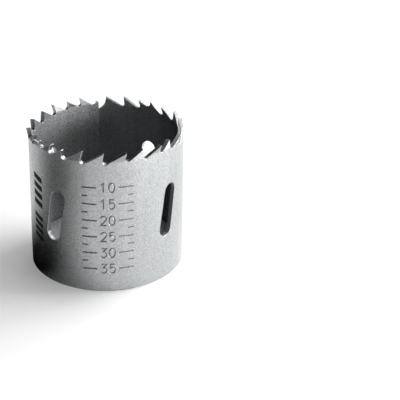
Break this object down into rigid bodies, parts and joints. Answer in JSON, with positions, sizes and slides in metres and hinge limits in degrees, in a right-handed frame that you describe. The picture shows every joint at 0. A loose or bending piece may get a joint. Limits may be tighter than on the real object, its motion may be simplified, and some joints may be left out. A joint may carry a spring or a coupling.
{
  "type": "hole saw",
  "caption": "Hole saw: a steel cup with set teeth round its rim and slanted slots in its wall, on a thick base plate with a threaded arbor hole and drive pin holes.",
  "frame": {"origin": "on the saw's axis, at the centre of the base plate's outer face, which it stands on", "axes": "+Z along the saw's axis, from the base plate towards the teeth; a wall slot faces each of -Y, +X, +Y and -X, and the drive pin holes lie along X"},
  "size_m": [0.0457, 0.0458, 0.0423],
  "materials": {
    "blasted_steel": "satin, blasted steel with bare cut edges",
    "plate_steel": "satin, turned steel plate"
  },
  "bodies": {
    "root": {"toothed_cup": "blasted_steel", "base_plate": "plate_steel"}
  },
  "joints": []
}
